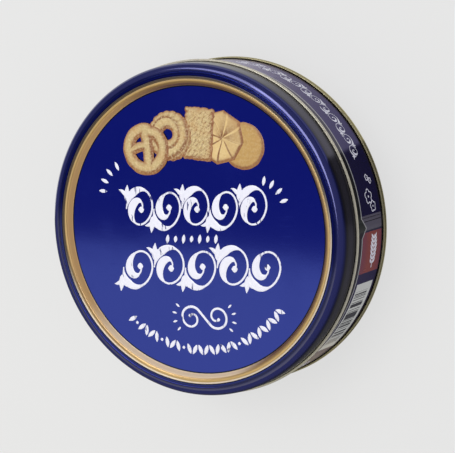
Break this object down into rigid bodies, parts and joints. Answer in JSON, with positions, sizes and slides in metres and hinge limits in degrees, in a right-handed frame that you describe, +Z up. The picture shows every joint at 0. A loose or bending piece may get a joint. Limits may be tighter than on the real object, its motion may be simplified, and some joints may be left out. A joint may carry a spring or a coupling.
{
  "type": "cookie tin",
  "caption": "Round slip-lid tinplate cookie tin with rolled edges, side-seamed wall and double-seamed bottom, packed with cookie stacks in paper cups.",
  "frame": {"origin": "centre of the footprint of the bottom seam, on the ground", "axes": "+Z up along the tin's axis towards the lid; +Y towards the top edge of the lid's decoration; +X towards the side seam of the wall"},
  "size_m": [0.194, 0.194, 0.0554],
  "materials": {
    "lid_print": "gloss lacquer over royal blue print, gold ring",
    "wall_print": "gloss lacquer over dark navy print",
    "end_lacquer": "gold lacquered tinplate",
    "compound": "matt",
    "cushion_paper": "embossed white paper",
    "cup_paper": "pleated greaseproof paper",
    "biscuit": "baked butter biscuit"
  },
  "bodies": {
    "tin": {"body_wall": "wall_print", "bottom_end": "end_lacquer", "seam_compound": "compound"},
    "cookie_pack": {"pretzel_cup": "cup_paper", "ring_cup": "cup_paper", "bar_cup": "cup_paper", "wheel_cup": "cup_paper", "round_cup": "cup_paper", "pretzel_cookies": "biscuit", "ring_cookies": "biscuit", "bar_cookies": "biscuit", "wheel_cookies": "biscuit", "round_cookies": "biscuit"},
    "cushion": {"paper_cushion": "cushion_paper"},
    "lid": {"lid_shell": "lid_print"}
  },
  "joints": [
    {"name": "cookie_lift", "type": "slide", "parent": "tin", "child": "cookie_pack", "axis": [0, 0, 1], "range_m": [0, 0.075]},
    {"name": "cushion_lift", "type": "slide", "parent": "cookie_pack", "child": "cushion", "axis": [0, 0, 1], "range_m": [0, 0.04]},
    {"name": "lid_lift", "type": "slide", "parent": "cushion", "child": "lid", "axis": [0, 0, 1], "range_m": [0, 0.06]}
  ]
}
